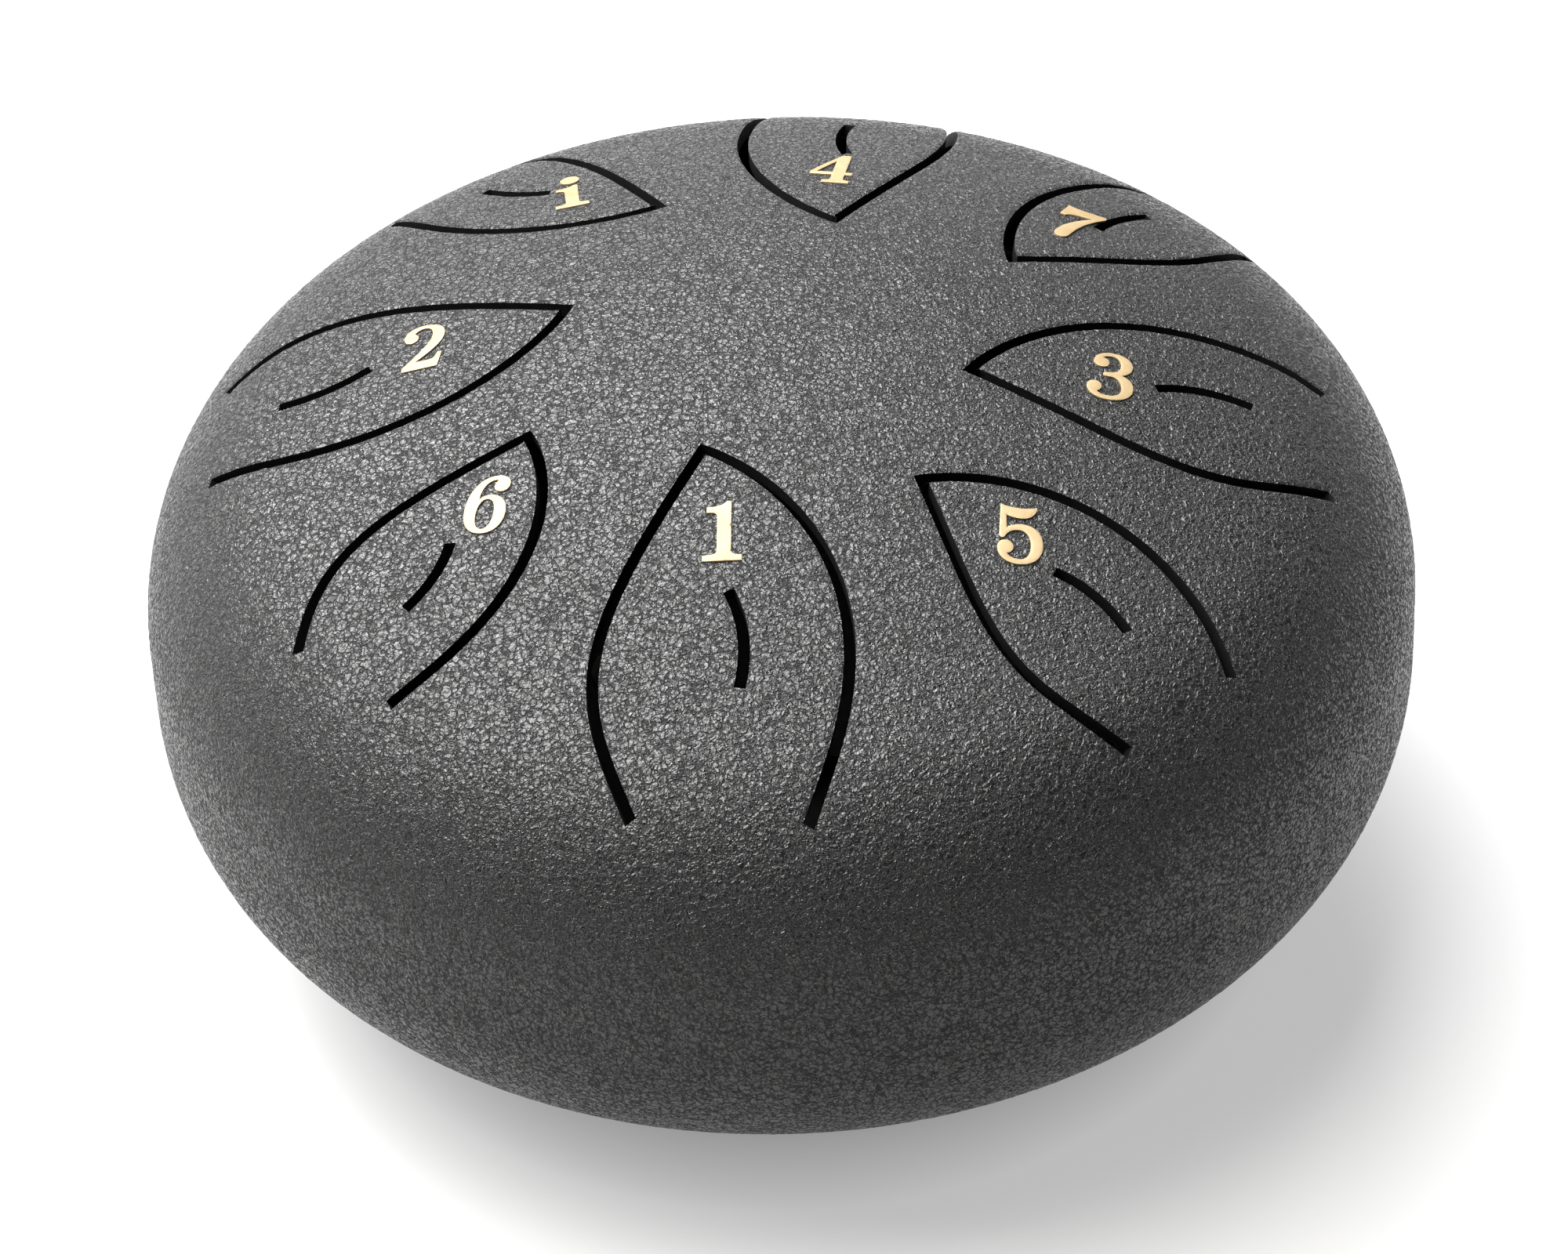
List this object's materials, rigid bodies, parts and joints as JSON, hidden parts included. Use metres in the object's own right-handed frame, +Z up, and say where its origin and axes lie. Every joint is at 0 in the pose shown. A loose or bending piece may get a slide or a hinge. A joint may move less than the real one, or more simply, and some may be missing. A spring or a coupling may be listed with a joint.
{
  "type": "steel tongue drum",
  "caption": "Small round steel tongue drum: two domed dishes joined at the rim, leaf-shaped tongues cut in the top, gold scale numbers and rubber feet.",
  "frame": {"origin": "middle of the drum, on the surface it stands on", "axes": "+Z up along the drum's axis; -Y towards the lowest note, numbered 1; +X to the player's right"},
  "size_m": [0.155, 0.155, 0.083],
  "materials": {
    "powder_coat": "dark charcoal wrinkle powder coat on steel",
    "bare_weld": "as-welded steel bead",
    "gold_foil": "satin gold foil sticker",
    "rubber": "matte black rubber"
  },
  "bodies": {
    "drum": {"top_shell": "powder_coat", "bottom_shell": "powder_coat", "seam_weld": "bare_weld", "foot_1": "rubber", "foot_2": "rubber", "foot_3": "rubber", "foot_4": "rubber"},
    "note_1": {"tongue_1": "powder_coat", "number_1": "gold_foil"},
    "note_5": {"tongue_5": "powder_coat", "number_5": "gold_foil"},
    "note_3": {"tongue_3": "powder_coat", "number_3": "gold_foil"},
    "note_7": {"tongue_7": "powder_coat", "number_7": "gold_foil"},
    "note_4": {"tongue_4": "powder_coat", "number_4": "gold_foil"},
    "note_high_1": {"tongue_high_1": "powder_coat", "number_high_1": "gold_foil"},
    "note_2": {"tongue_2": "powder_coat", "number_2": "gold_foil"},
    "note_6": {"tongue_6": "powder_coat", "number_6": "gold_foil"}
  },
  "joints": [
    {"name": "tongue_1_flex", "type": "hinge", "parent": "drum", "child": "note_1", "pos_m": [-0.00051, -0.06713, 0.06659], "axis": [1, -0.0051, 0.0021], "range_deg": [-0.59, 0.59], "stiffness_Nm_per_rad": 175},
    {"name": "tongue_5_flex", "type": "hinge", "parent": "drum", "child": "note_5", "pos_m": [0.0505, -0.04566, 0.06592], "axis": [0.65, 0.7595, 0.0252], "range_deg": [-0.72, 0.72], "stiffness_Nm_per_rad": 175},
    {"name": "tongue_3_flex", "type": "hinge", "parent": "drum", "child": "note_3", "pos_m": [0.06622, 0.00231, 0.06737], "axis": [-0.0754, 0.9967, 0.0313], "range_deg": [-0.67, 0.67], "stiffness_Nm_per_rad": 175},
    {"name": "tongue_7_flex", "type": "hinge", "parent": "drum", "child": "note_7", "pos_m": [0.05055, 0.0488, 0.06375], "axis": [-0.7333, 0.6765, 0.068], "range_deg": [-0.84, 0.84], "stiffness_Nm_per_rad": 175},
    {"name": "tongue_4_flex", "type": "hinge", "parent": "drum", "child": "note_4", "pos_m": [0.00505, 0.07208, 0.06066], "axis": [-0.9915, -0.0108, 0.13], "range_deg": [-0.67, 0.67], "stiffness_Nm_per_rad": 175},
    {"name": "tongue_high_1_flex", "type": "hinge", "parent": "drum", "child": "note_high_1", "pos_m": [-0.0485, 0.04946, 0.06452], "axis": [-0.4214, -0.845, 0.3292], "range_deg": [-0.8, 0.8], "stiffness_Nm_per_rad": 175},
    {"name": "tongue_2_flex", "type": "hinge", "parent": "drum", "child": "note_2", "pos_m": [-0.06774, 0.00018, 0.06616], "axis": [0.0263, -0.9993, 0.026], "range_deg": [-0.67, 0.67], "stiffness_Nm_per_rad": 175},
    {"name": "tongue_6_flex", "type": "hinge", "parent": "drum", "child": "note_6", "pos_m": [-0.04597, -0.046, 0.06838], "axis": [0.7652, -0.6411, 0.0584], "range_deg": [-0.79, 0.79], "stiffness_Nm_per_rad": 175}
  ]
}
